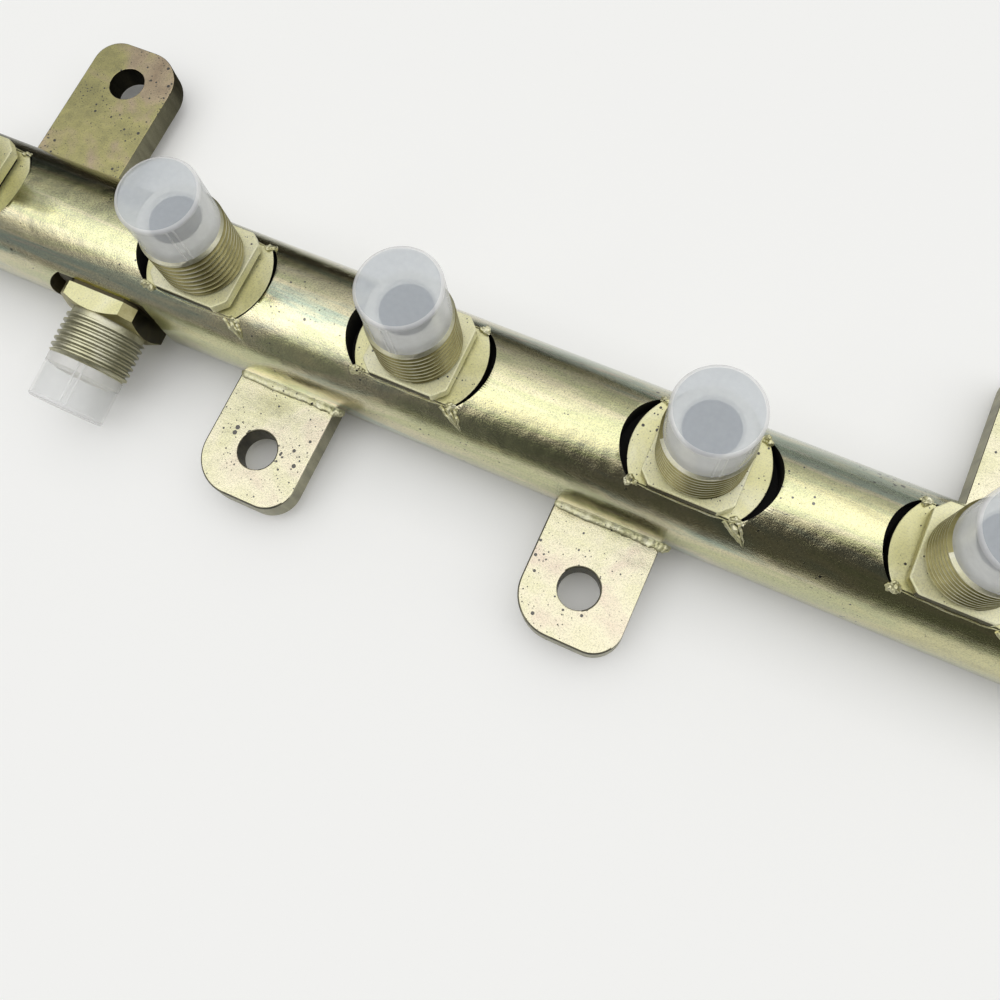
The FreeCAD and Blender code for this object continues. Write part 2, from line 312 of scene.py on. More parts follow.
def plated_steel(name, film_stops, film_scale, roughness, specks, pits, relief, sealer=0.7, metal=1.0):
    # Zinc plate with a yellow chromate film on steel: a pale metal whose thin film
    # drifts from straw to green, teal and pink, with dust specks and small pits
    material, tree, shader, _ = new_material(name)
    place = add(tree, "ShaderNodeTexCoord").outputs["Object"]
    drawn = add(tree, "ShaderNodeMapping", {"Vector": place, "Scale": film_scale})
    film = add(tree, "ShaderNodeTexNoise", {"Vector": drawn.outputs["Vector"], "Scale": 1.0, "Detail": 4.0,
                                            "Roughness": 0.6, "Distortion": 0.5})
    tint = add(tree, "ShaderNodeValToRGB", {"Fac": film.outputs["Fac"]}, film_stops)
    # Grain of the film, about 0.35 mm
    grain = add(tree, "ShaderNodeTexNoise", {"Vector": place, "Scale": 2800.0, "Detail": 3.0, "Roughness": 0.7})
    dusty = add(tree, "ShaderNodeValToRGB", {"Fac": grain.outputs["Fac"]},
                [(0.30, (1 - specks,) * 3 + (1,)), (0.55, WHITE)])
    toned = add(tree, "ShaderNodeMixRGB", {"Fac": 1.0, "Color1": tint.outputs["Color"],
                                           "Color2": dusty.outputs["Color"]}, blend_type="MULTIPLY")
    # Pits up to 0.5 mm across, in clusters about 12 mm wide, and finer ones between them
    clusters = add(tree, "ShaderNodeTexNoise", {"Vector": place, "Scale": 85.0, "Detail": 2.0})
    dark = None
    for spacing, low, size in ((620.0, 0.34, pits * 1.6), (1300.0, 0.3, pits * 1.5)):
        cells = add(tree, "ShaderNodeTexVoronoi", {"Vector": place, "Scale": spacing, "Randomness": 1.0})
        reach = add(tree, "ShaderNodeMapRange", {"Value": clusters.outputs["Fac"], "From Min": low,
                                                 "From Max": 0.75, "To Min": 0.0, "To Max": size})
        # Each cell's own random share makes its pit large, small or missing
        share = add(tree, "ShaderNodeMapRange", {"Value": cells.outputs["Color"], "From Min": 0.25,
                                                 "From Max": 0.9})
        uneven = add(tree, "ShaderNodeMath", {0: reach.outputs["Result"], 1: share.outputs["Result"]},
                     operation="MULTIPLY")
        pit = add(tree, "ShaderNodeMath", {0: cells.outputs["Distance"], 1: uneven.outputs["Value"]},
                  operation="LESS_THAN").outputs["Value"]
        dark = pit if dark is None else add(tree, "ShaderNodeMath", {0: dark, 1: pit},
                                            operation="MAXIMUM").outputs["Value"]
    pitted = add(tree, "ShaderNodeMixRGB", {"Fac": dark, "Color1": toned.outputs["Color"],
                                            "Color2": colour("#2A2616")})
    tree.links.new(pitted.outputs["Color"], shader.inputs["Base Color"])
    rough = add(tree, "ShaderNodeMapRange", {"Value": grain.outputs["Fac"], "From Min": 0.3, "From Max": 0.7,
                                             "To Min": roughness * 0.8, "To Max": roughness * 1.3})
    tree.links.new(rough.outputs["Result"], shader.inputs["Roughness"])
    shader.inputs["Metallic"].default_value = metal
    # The clear sealer over the chromate whitens the brightest reflections
    shader.inputs["Coat Weight"].default_value = sealer
    shader.inputs["Coat IOR"].default_value = 2.1
    shader.inputs["Coat Roughness"].default_value = roughness
    # Relief: the grain and the pits, over a slow waviness of the drawn or rolled skin
    dent = add(tree, "ShaderNodeMath", {0: grain.outputs["Fac"], 1: dark}, operation="SUBTRACT")
    fine = add(tree, "ShaderNodeBump", {"Height": dent.outputs["Value"], "Strength": relief,
                                        "Distance": 0.00006})
    wave = add(tree, "ShaderNodeTexNoise", {"Vector": place, "Scale": 260.0, "Detail": 1.0})
    skin = add(tree, "ShaderNodeBump", {"Height": wave.outputs["Fac"], "Strength": relief,
                                        "Distance": 0.0002, "Normal": fine.outputs["Normal"]})
    tree.links.new(skin.outputs["Normal"], shader.inputs["Normal"])
    return material


def plain(name, hex_text, roughness, metallic=0.0, alpha=1.0):
    # One even finish: its colour, gloss and how much of it lets light through
    material, tree, shader, _ = new_material(name)
    place = add(tree, "ShaderNodeTexCoord").outputs["Object"]
    cloud = add(tree, "ShaderNodeTexNoise", {"Vector": place, "Scale": 900.0, "Detail": 2.0})
    base = colour(hex_text)
    tint = add(tree, "ShaderNodeValToRGB", {"Fac": cloud.outputs["Fac"]},
               [(0.3, tuple(c * 0.94 for c in base[:3]) + (1,)), (0.7, base)])
    tree.links.new(tint.outputs["Color"], shader.inputs["Base Color"])
    shader.inputs["Roughness"].default_value = roughness
    shader.inputs["Metallic"].default_value = metallic
    shader.inputs["Alpha"].default_value = alpha
    return material


def pale_floor():
    # A white table: it lights the metal from below, and stays dark to the metal far
    # behind the tube, where the real room is dark
    material, tree, shader, output = new_material("table_white_painted")
    shader.inputs["Base Color"].default_value = colour("#F3F3F1")
    shader.inputs["Roughness"].default_value = 0.6
    rays = add(tree, "ShaderNodeLightPath")
    place = add(tree, "ShaderNodeSeparateXYZ", {"Vector": add(tree, "ShaderNodeTexCoord").outputs["Object"]})
    nearer = add(tree, "ShaderNodeMapRange", {"Value": place.outputs["X"], "From Min": -0.1, "From Max": -0.05,
                                              "To Min": 0.035, "To Max": 0.0})
    depth = add(tree, "ShaderNodeMath", {0: place.outputs["Y"], 1: nearer.outputs["Result"]}, operation="ADD")
    behind = add(tree, "ShaderNodeMapRange", {"Value": depth.outputs["Value"], "From Min": 0.07,
                                              "From Max": 0.12})
    before = add(tree, "ShaderNodeMapRange", {"Value": place.outputs["Y"], "From Min": -0.05, "From Max": -0.13,
                                              "To Max": 0.75})
    # The dark room behind is nearer on the left
    leftward = add(tree, "ShaderNodeMapRange", {"Value": place.outputs["X"], "From Min": -0.05,
                                                "From Max": 0.03, "To Min": 1.0, "To Max": 0.3})
    rear = add(tree, "ShaderNodeMath", {0: behind.outputs["Result"], 1: leftward.outputs["Result"]},
               operation="MULTIPLY")
    distant = add(tree, "ShaderNodeMath", {0: rear.outputs["Value"], 1: before.outputs["Result"]},
                  operation="MAXIMUM")
    dim = add(tree, "ShaderNodeMath", {0: distant.outputs["Value"], 1: rays.outputs["Is Glossy Ray"]},
              operation="MULTIPLY")
    shade = add(tree, "ShaderNodeBsdfDiffuse", {"Color": colour("#242018")})
    darker = add(tree, "ShaderNodeMixShader", {0: dim.outputs["Value"], 1: shader.outputs["BSDF"],
                                               2: shade.outputs["BSDF"]})
    glow = add(tree, "ShaderNodeEmission", {"Color": colour("#FFFFFD"), "Strength": 1.0})
    # The lift leaves out the places close under the part, so the contact shadow stays
    open_to_sky = add(tree, "ShaderNodeAmbientOcclusion", {"Distance": 0.02}, samples=8)
    share = add(tree, "ShaderNodeMath", {0: open_to_sky.outputs["AO"], 1: 0.52}, operation="MULTIPLY")
    lift = add(tree, "ShaderNodeMath", {0: rays.outputs["Is Camera Ray"], 1: share.outputs["Value"]},
               operation="MULTIPLY")
    lifted = add(tree, "ShaderNodeMixShader", {0: lift.outputs["Value"], 1: darker.outputs["Shader"],
                                               2: glow.outputs["Emission"]})
    tree.links.new(lifted.outputs["Shader"], output.inputs["Surface"])
    return material


TUBE_STOPS = [(0.22, colour("#BEB87A")), (0.36, colour("#DCD69A")), (0.46, colour("#C8CA90")),
              (0.54, colour("#E2D8AA")), (0.64, colour("#A8BAA0")), (0.74, colour("#DEC4A4"))]
TURNED_STOPS = [(0.3, colour("#DCD896")), (0.5, colour("#EBE7AE")), (0.7, colour("#F2EFC6"))]
COLLAR_TOP_LIT_STOPS = [(0.3, colour("#F6F2B4")), (0.5, colour("#FCF8C6")), (0.7, colour("#FFFCD8"))]
TAB_STOPS = [(0.3, colour("#B6B284")), (0.45, colour("#CAC69E")), (0.58, colour("#D2CBAC")),
             (0.72, colour("#C9B9A3"))]
SHADED_TAB_STOPS = [(0.3, colour("#9C9656")), (0.45, colour("#B4AD68")), (0.58, colour("#BCA884")),
                  (0.72, colour("#A48C6C"))]
THREAD_STOPS = [(0.3, colour("#C2BE98")), (0.5, colour("#D2CFB0")), (0.7, colour("#DEDBC6"))]
FLANK_SHADE_STOPS = [(0.3, colour("#6E6636")), (0.5, colour("#8A824C")), (0.7, colour("#A09862"))]
SIDE_THREAD_FLANK_SHADE_STOPS = [(0.3, colour("#96947A")), (0.5, colour("#ACAA90")), (0.7, colour("#BEBCA6"))]
COLLAR_SIDE_SHADE_STOPS = [(0.3, colour("#8C8452")), (0.5, colour("#A69E68")), (0.7, colour("#B8B080"))]
COLLAR_FLAT_SHADE_STOPS = [(0.3, colour("#2A2610")), (0.5, colour("#3A351A")), (0.7, colour("#4C4728"))]
RECESS_SHADE_STOPS = [(0.3, colour("#2C2A1E")), (0.5, colour("#4A4736")), (0.7, colour("#625E4A"))]
WELD_STOPS = [(0.3, colour("#CCC890")), (0.5, colour("#E6E2B4")), (0.7, colour("#F4F1D2"))]
SHEAR_STOPS = [(0.3, colour("#7E7A5A")), (0.5, colour("#9C9874")), (0.7, colour("#B0AC8A"))]

# Drawn tube: the glossiest of the plated pieces, so it shows the studio in long bands
tube_finish = plated_steel("steel_tube_yellow_zinc_plated", TUBE_STOPS, (14, 110, 110), 0.13, 0.4, 0.21, 0.8,
                           1.0)
# Painted light: the top collars' tops get a paler copy of the turned colour, for the light they catch; matt
# enough not to mirror the thread beside it
collar_top_painted_light_finish = plated_steel("steel_collar_top_painted_light_zinc_plated", COLLAR_TOP_LIT_STOPS, (90, 90, 90), 0.42,
                                 0.25, 0.22, 0.5, 0.6, 0.25)
# Faced with a turning tool and left matt, so the film shows more than the reflections
turned_finish = plated_steel("steel_turned_yellow_zinc_plated", TURNED_STOPS, (90, 90, 90), 0.4, 0.25, 0.22,
                             0.5, 0.4, 0.5)
# The crests keep the pale thread colour; the flanks between them get painted shade, a darker olive, so the
# crests show as thin bright lines
thread_finish = plated_steel("steel_thread_crest_zinc_plated", THREAD_STOPS, (160, 160, 40), 0.42, 0.2, 0.0,
                             0.4, 0.3)
flank_painted_shade_finish = plated_steel("steel_thread_flank_painted_shade_zinc_plated", FLANK_SHADE_STOPS, (160, 160, 40), 0.35, 0.15,
                            0.0, 0.3, 0.2, 0.7)
# The side port's flanks get a lighter painted shade, and its roots keep the pale colour
side_thread_flank_shade_finish = plated_steel("steel_side_thread_flank_painted_shade_zinc_plated", SIDE_THREAD_FLANK_SHADE_STOPS, (160, 160, 40), 0.33,
                                 0.15, 0.0, 0.3, 0.3, 0.5)
# Painted shade: the collars' sides get darker copies of the plate's colour, the second darker still for the
# flats facing the dark room and the flat in the tube's shadow
collar_side_painted_shade_finish = plated_steel("steel_collar_side_painted_shade_zinc_plated", COLLAR_SIDE_SHADE_STOPS, (200, 200, 200), 0.35,
                                  0.2, 0.0, 0.4, 0.3)
collar_flat_painted_shade_finish = plated_steel("steel_collar_flat_painted_dark_shade_zinc_plated", COLLAR_FLAT_SHADE_STOPS, (200, 200, 200),
                                   0.35, 0.2, 0.0, 0.4, 0.2)
# Painted shade: a dark brown for the top threads' roots, the tab holes' walls and the tab's edges that face -X
# and away from the tube
recess_painted_shade_finish = plated_steel("steel_recess_painted_shade_zinc_plated", RECESS_SHADE_STOPS, (300, 300, 60), 0.35, 0.2, 0.0,
                           0.4, 0.2)
# Blanked from rolled plate: half bright, with the most pits of all the pieces
tab_finish = plated_steel("steel_plate_blanked_yellow_zinc_plated", TAB_STOPS, (70, 70, 70), 0.19, 0.32, 0.28,
                          0.75)
# Painted shade: a darker, more olive copy of the plate's colour for the rear left tab, which lies in dimmer
# light
shaded_tab_finish = plated_steel("steel_plate_blanked_painted_shade_yellow_zinc_plated", SHADED_TAB_STOPS, (55, 55, 55),
                               0.32, 0.3, 0.32, 0.7)
# The tab's sides are coloured greyer and darker than the plate's face, and are rougher
shear_finish = plated_steel("steel_plate_sheared_edge_zinc_plated", SHEAR_STOPS, (400, 400, 60), 0.42, 0.35,
                            0.1, 0.7)
# Weld metal: pale and gritty, and it glints at each ripple
weld_finish = plated_steel("steel_weld_bead_zinc_plated", WELD_STOPS, (500, 500, 500), 0.35, 0.35, 0.25, 1.0,
                           0.4, 0.7)
plug_finish = plated_steel("steel_plug_yellow_zinc_plated", TURNED_STOPS, (90, 90, 90), 0.3, 0.2, 0.1, 0.4)
# Painted shade: the pockets' walls and floors, the end holes' walls, the flanges' rims and the undercuts are
# coloured near black, as the deep gap round each connector lies in shade
gap_painted_shade_finish = plain("steel_gap_painted_black_shade", "#0E0C08", 0.8)
# Painted shade: the side port's pocket, its flange and its undercut are coloured dark brown, as they face down
# towards the table, away from the lamp
side_port_brown_shade_finish = plain("steel_side_port_painted_brown_shade", "#4E462A", 0.5, 0.4)
# Painted highlight: the broken edges round each pocket are coloured near white, a thin bright line round the
# pocket's painted black shade
rim_painted_highlight_finish = plain("steel_milled_edge_painted_highlight", "#F4F2DE", 0.3, 0.2)
# Seen through the milky cap: painted shade for the dark bore, a lighter painted half shade for its mouth, and
# the pale face round it
seat_painted_shade_finish = plain("steel_seat_painted_dark_shade", "#1C2E44", 0.6)
mouth_painted_half_shade_finish = plain("steel_seat_mouth_painted_half_shade", "#6A7C8C", 0.5)
face_finish = plain("steel_faced_bright", "#FDFBF2", 0.4, 0.05)
# Thin moulded polyethylene, milky: a third to half of the light stops at each face,
# less in the thin end, more where the wall turns and the eye looks along it
cap_finish = plain("polyethylene_moulded_milky", "#F6F8F9", 0.2, 0.0, 0.42)
cap_end_finish = plain("polyethylene_moulded_thin_end", "#F4FAFF", 0.2, 0.0, 0.32)
# The turned edge and the raised lines are less clear for their thickness to the eye, and a little whiter as a
# painted highlight
cap_edge_thick_highlight_finish = plain("polyethylene_moulded_thick_edge_painted_highlight", "#FFFFFF", 0.2, 0.0, 0.5)
clear_cap_finish = plain("polyethylene_moulded_clear", "#F8FAFA", 0.15, 0.0, 0.16)
clear_rim_finish = plain("polyethylene_moulded_thick_rim", "#F6F6F4", 0.2, 0.0, 0.6)


def finish_with(piece, *finishes):
    piece.data.materials.clear()
    for finish in finishes:
        piece.data.materials.append(finish)
    return piece


# Ports: a matrix takes the port's own frame (Z out of the tube) to its place

def port_place(along, turn):
    return Matrix.Translation((along, AXIS_Y, AXIS_Z)) @ Matrix.Rotation(turn, 4, "X")


PORTS = {"connector_%d" % number: port_place(along, 0) for number, along in TOP_PORTS.items()}
PORTS["side_connector"] = port_place(SIDE_PORT, math.pi / 2 + SIDE_PORT_DIP)


# Tube

def pocket_cutter():
    # A round disc pulled apart along X, then cut straight on both long sides
    cutter = cylinder("pocket_cutter", POCKET_END_RADIUS, POCKET_FLOOR, RAIL_RADIUS * 1.2, sides=130)
    pull = POCKET_REACH - POCKET_END_RADIUS
    for way in (1, -1):
        edit(cutter, "VERT")
        pick(cutter, "VERT", lambda co: co.x * way > 0)
        bpy.ops.transform.translate(value=(way * pull, 0, 0))
        close()
    for way in (1, -1):
        slice_off(cutter, (0, way * POCKET_HALF_WIDTH, 0), (0, way, 0))
    return cutter


def rail_tube():
    tube = cylinder("rail_tube_drawn", RAIL_RADIUS, RAIL_LEFT, RAIL_RIGHT, sides=192)
    tube.data.transform(Matrix.Translation((0, AXIS_Y, AXIS_Z)) @ Matrix.Rotation(math.pi / 2, 4, "Y"))
    edit(tube, "EDGE")
    pick(tube, "EDGE", lambda a, b: abs(a.x - b.x) > 0.1)
    bpy.ops.mesh.subdivide(number_cuts=75)
    close()
    pocket = pocket_cutter()
    cutters = [copy_of(pocket, "cut_" + name, place) for name, place in PORTS.items()]
    for end, way in ((RAIL_LEFT, 1), (RAIL_RIGHT, -1)):
        hole = cylinder("plug_hole", PLUG_HOLE_RADIUS, -PLUG_HOLE_DEPTH, PLUG_HOLE_DEPTH, sides=64)
        hole.data.transform(Matrix.Translation((end, AXIS_Y, AXIS_Z)) @ Matrix.Rotation(math.pi / 2, 4, "Y"))
        cutters.append(hole)
    bpy.data.objects.remove(pocket)
    carve(tube, join("port_cutters", cutters))
    bevel(tube, EDGE_BREAK)
    finish_with(tube, tube_finish, gap_painted_shade_finish, side_port_brown_shade_finish, rim_painted_highlight_finish)
    # Painted shade: faces deeper than 0.3 mm in the pockets and end holes are coloured near black, and dark
    # brown in the side port's pocket; painted highlight: the broken edges round them are near white
    for face in tube.data.polygons:
        depth = RAIL_RADIUS - math.hypot(face.center.y - AXIS_Y, face.center.z - AXIS_Z)
        away = Vector((0, face.center.y - AXIS_Y, face.center.z - AXIS_Z)).normalized()
        if RAIL_LEFT + 0.001 < face.center.x < RAIL_RIGHT - 0.001:
            if depth > 0.3 * MM:
                face.material_index = 2 if face.center.y < AXIS_Y - POCKET_FLOOR else 1
            elif face.normal.dot(away) < 0.98:
                face.material_index = 3
    return smooth(tube)


# Connectors

def square_bar(name, flats, low, high):
    half = flats / 2
    bar = block(name, (-half, -half, low), (half, half, high))
    edit(bar, "EDGE")
    pick(bar, "EDGE", lambda a, b: abs(a.z - b.z) > (high - low) / 2)
    bpy.ops.mesh.bevel(offset=COLLAR_CLIP, segments=1, offset_type="OFFSET")
    close()
    return bar


def thread(low, high, flank, root):
    # One pitch of the thread's outline, turned up into a helix by a Screw modifier
    outline = [(THREAD_RADIUS, 0.0), (THREAD_RADIUS, 0.4), (THREAD_ROOT_RADIUS, 0.83),
               (THREAD_ROOT_RADIUS, 1.07), (THREAD_RADIUS, 1.5)]
    start = low - 2.13 * THREAD_PITCH
    turns = int((high - low) / THREAD_PITCH) + 5
    deselect()
    bpy.ops.mesh.primitive_plane_add(size=1)
    helix = named("thread")
    edit(helix, "FACE")
    bpy.ops.mesh.select_all(action="SELECT")
    bpy.ops.mesh.delete(type="VERT")
    close()
    points = [(radius, 0, start + rise * MM) for radius, rise in outline]
    helix.data.from_pydata(points, [(i, i + 1) for i in range(len(points) - 1)], [])
    modify(helix, "SCREW", screw_offset=THREAD_PITCH, iterations=turns, steps=96, render_steps=96,
           use_merge_vertices=True, merge_threshold=0.000005)
    slice_off(helix, (0, 0, low), (0, 0, -1))
    slice_off(helix, (0, 0, high), (0, 0, 1))
    outward(helix)
    # The lead chamfer: points near the end are drawn in towards the axis
    for vert in helix.data.vertices:
        widest = THREAD_ROOT_RADIUS + 0.1 * MM + (high - vert.co.z)
        across = vert.co.xy.length
        if across > widest:
            vert.co.xy *= widest / across
    # The end is opened for the nose, which is bored out
    edit(helix, "FACE")
    pick(helix, "FACE", lambda middle, normal: normal.z > 0.9 and middle.z > high - 0.00001)
    bpy.ops.mesh.inset(thickness=1.0 * MM)
    bpy.ops.mesh.delete(type="FACE")
    close()
    finish_with(helix, thread_finish, flank, root)
    # Painted shade: below the last turn, flanks get the darker flank colour and roots the root colour passed in
    for face in helix.data.polygons:
        out = face.center.xy.length
        if out < THREAD_RADIUS - 0.12 * MM and face.center.z < high - THREAD_PALE_END:
            face.material_index = 2 if out < THREAD_ROOT_RADIUS + 0.08 * MM else 1
    return helix


def nose(low, seat):
    # Plain end of the stub with the sealing cone and the fuel drilling in its face
    tip = cylinder("nose", NOSE_RADIUS, low, NOSE_END, sides=96)
    bevel(tip, 0.25 * MM)
    edit(tip, "FACE")
    pick(tip, "FACE", lambda middle, normal: normal.z > 0.9)
    bpy.ops.mesh.inset(thickness=NOSE_RADIUS - 0.25 * MM - SEAT_MOUTH_RADIUS)
    # Two rings at the mouth, then the cone, then the drilling
    radius = SEAT_MOUTH_RADIUS
    for smaller in (5.3 * MM, 5.0 * MM, DRILL_RADIUS):
        depth = (radius - smaller) / math.tan(math.radians(30))
        bpy.ops.mesh.extrude_region_move(TRANSFORM_OT_translate={"value": (0, 0, -depth)})
        bpy.ops.transform.resize(value=(smaller / radius,) * 2 + (1,), center_override=(0, 0, 0))
        radius = smaller
    bpy.ops.mesh.extrude_region_move(TRANSFORM_OT_translate={"value": (0, 0, -1 * MM)})
    close()
    finish_with(tip, face_finish, seat, mouth_painted_half_shade_finish)
    # Painted shade: the cone and the drilling get the seat colour passed in, and the rings at the mouth a half
    # shade
    for face in tip.data.polygons:
        across = face.center.xy.length
        if face.center.z < NOSE_END - 0.1 * MM and across < 5.4 * MM:
            face.material_index = 1 if across < 5.1 * MM else 2
    return tip


def connector(name, collar_height, is_side):
    collar_top = FLANGE_TOP + collar_height
    flange = cylinder("flange", FLANGE_RADIUS, POCKET_FLOOR, FLANGE_TOP, sides=160)
    for way in (1, -1):
        slice_off(flange, (0, way * FLANGE_HALF_WIDTH, 0), (0, way, 0))
    bevel(flange, EDGE_BREAK)
    undercut = square_bar("undercut", COLLAR_FLATS - 2 * UNDERCUT_DEPTH, FLANGE_TOP - 0.5 * MM,
                          FLANGE_TOP + UNDERCUT_HEIGHT + 0.2 * MM)
    collar = square_bar("collar", COLLAR_FLATS, FLANGE_TOP + UNDERCUT_HEIGHT, collar_top)
    if is_side:
        deselect()
        bpy.ops.mesh.primitive_cone_add(vertices=128, depth=collar_height, radius2=COLLAR_FLATS / 2,
                                        radius1=COLLAR_FLATS / 2 + collar_height / math.tan(math.pi / 6),
                                        location=(0, 0, FLANGE_TOP + collar_height / 2))
        carve(collar, settle(named("collar_turning")), "INTERSECT")
        bevel(collar, 0.12 * MM, 1, 25)
    else:
        bevel(collar, 0.4 * MM)
    # Painted shade: the flange's rim and the undercut are coloured near black; on the side port they are dark
    # brown, and its land is dark brown too
    scale = side_port_brown_shade_finish if is_side else gap_painted_shade_finish
    finish_with(flange, scale if is_side else turned_finish, scale)
    for face in flange.data.polygons:
        if face.center.z < FLANGE_TOP - 0.25 * MM:
            face.material_index = 1
    finish_with(undercut, scale)
    # Painted light and shade, set by how each face meets the lamp: the top collars' tops get the paler lit
    # colour and most sides darker colours, the darkest on the side collar's flat towards +X and on the top
    # collars' flats facing ±Y
    finish_with(collar, turned_finish if is_side else collar_top_painted_light_finish, collar_side_painted_shade_finish,
                collar_flat_painted_shade_finish)
    for face in collar.data.polygons:
        if is_side:
            # The flat towards +X lies in the tube's shadow
            if face.normal.x > 0.8:
                face.material_index = 2
            elif abs(face.normal.y) < 0.8:
                face.material_index = 1
        elif abs(face.normal.z) < 0.2 and face.normal.x < 0.2:
            face.material_index = 2 if abs(face.normal.y) > 0.8 else 1
    neck_length = SIDE_NECK_LENGTH if is_side else TOP_NECK_LENGTH
    neck = cylinder("neck", THREAD_ROOT_RADIUS + 0.15 * MM, collar_top - 0.5 * MM,
                    collar_top + neck_length + 0.3 * MM)
    finish_with(neck, thread_finish)
    # Painted shade on the flanks, and the dark recess colour on the top threads' roots
    flank, root = (side_thread_flank_shade_finish, thread_finish) if is_side else (flank_painted_shade_finish, recess_painted_shade_finish)
    turned_thread = thread(collar_top + neck_length, THREAD_END, flank, root)
    tip = nose(NOSE_START, face_finish if is_side else seat_painted_shade_finish)
    return smooth(join(name, [flange, undercut, collar, neck, turned_thread, tip]))


# Transport caps: turned from a disc, hollowed, with one pair of raised lines

CAP_TURNS = {"connector_1": -70, "connector_2": -45, "connector_3": -83, "connector_4": -64, "connector_5": -75,
             "side_connector": 63}


def transport_cap(name, turn, walls, ends):
    cap = cylinder(name, CAP_RADIUS, THREAD_END, CAP_END, sides=120)
    edit(cap, "FACE")
    bpy.ops.mesh.select_all(action="SELECT")
    bpy.ops.mesh.bisect(plane_co=(0, 0, THREAD_END + CAP_RIM_HEIGHT), plane_no=(0, 0, 1))
    close()
    edit(cap, "EDGE")
    pick(cap, "EDGE", lambda a, b: a.z > CAP_END - 0.00001 and b.z > CAP_END - 0.00001)
    bpy.ops.mesh.bevel(offset=CAP_EDGE_ROUND, segments=6)
    close()
    edit(cap, "FACE")
    pick(cap, "FACE", lambda middle, normal: normal.z < -0.9)
    bpy.ops.mesh.inset(thickness=CAP_WALL)
    bpy.ops.mesh.extrude_region_move(
        TRANSFORM_OT_translate={"value": (0, 0, CAP_END - CAP_END_WALL - THREAD_END)})
    close()
    edit(cap, "FACE")
    for spread in (-4.5, 4.5):
        angle = math.radians(turn + spread)
        way = Vector((math.cos(angle), math.sin(angle), 0))
        pick(cap, "FACE", lambda middle, normal: normal.dot(way) > math.cos(math.radians(1.6))
             and middle.dot(way) > CAP_RADIUS * 0.98)
    bpy.ops.mesh.inset(thickness=0.08 * MM, use_individual=True)
    bpy.ops.transform.shrink_fatten(value=0.14 * MM)
    close()
    finish_with(cap, walls, cap_edge_thick_highlight_finish, ends, clear_rim_finish)
    # The turned edge and the raised lines get the whiter, less clear colour: partly thickness, partly a painted
    # highlight
    for face in cap.data.polygons:
        out = face.center.xy.length
        turned_edge = out > CAP_RADIUS - CAP_EDGE_ROUND and face.center.z > CAP_END - CAP_EDGE_ROUND
        raised_line = out > CAP_RADIUS + 0.02 * MM
        if turned_edge or raised_line:
            face.material_index = 1
        elif abs(face.normal.z) > 0.9 and face.center.z > CAP_END - 1.2 * MM:
            face.material_index = 2
        elif face.center.z < THREAD_END + CAP_RIM_HEIGHT + 0.1 * MM and ends == walls:
            face.material_index = 3
    return smooth(cap, 40)


# Fixing tabs

def tab(name, hole_place, reach, turned_round, finish):
    # Modelled pointing to -Y from the tube's axis, then turned for the rear pair
    half = TAB_WIDTH / 2
    plate = block(name, (-half, -reach, 0), (half, -TAB_ROOT, TAB_THICKNESS))
    for round_size, way in ((TAB_LARGE_ROUND, -1), (TAB_SMALL_ROUND, 1)):
        edit(plate, "EDGE")
        pick(plate, "EDGE", lambda a, b: abs(a.z - b.z) > 0.001 and (a.x + b.x) * way > 1.9 * half
             and a.y < -reach + 0.0001)
        bpy.ops.mesh.bevel(offset=round_size, segments=20)
        close()
    hole_back = AXIS_Y - hole_place[1] if not turned_round else hole_place[1] - AXIS_Y
    carve(plate, cylinder("tab_hole", TAB_HOLE_RADIUS, -1 * MM, TAB_THICKNESS + 1 * MM, sides=72,
                          at=(0, -hole_back)))
    bevel(plate, 0.35 * MM)
    finish_with(plate, finish, shear_finish, recess_painted_shade_finish)
    # The hole's wall gets the dark recess colour as painted shade; the other sides get the sheared-edge colour
    for face in plate.data.polygons:
        if abs(face.normal.z) < 0.3:
            from_hole = math.hypot(face.center.x, face.center.y + hole_back)
            face.material_index = 2 if from_hole < TAB_HOLE_RADIUS + 0.1 * MM else 1
    turn = Matrix.Rotation(math.pi, 4, "Z") if turned_round else Matrix.Identity(4)
    plate.data.transform(Matrix.Translation((hole_place[0], AXIS_Y, 0)) @ turn)
    # Painted shade: the broken edges towards -X and away from the tube get the dark recess colour, as they
    # reflect the dark room
    outward_y = 1 if turned_round else -1
    for face in plate.data.polygons:
        if (0.3 <= face.normal.z < 0.97 and face.material_index == 0
                and (face.normal.x < -0.2 or face.normal.y * outward_y > 0.2)):
            face.material_index = 2
    return smooth(plate)


# Welds: an uneven bead along each tab's root, above and below

def rightward(share):
    # Grows from 0.15 at a bead's left end, where share is -1, to 1 at its right end
    return 0.15 + 0.85 * ((share + 1) / 2) ** 2


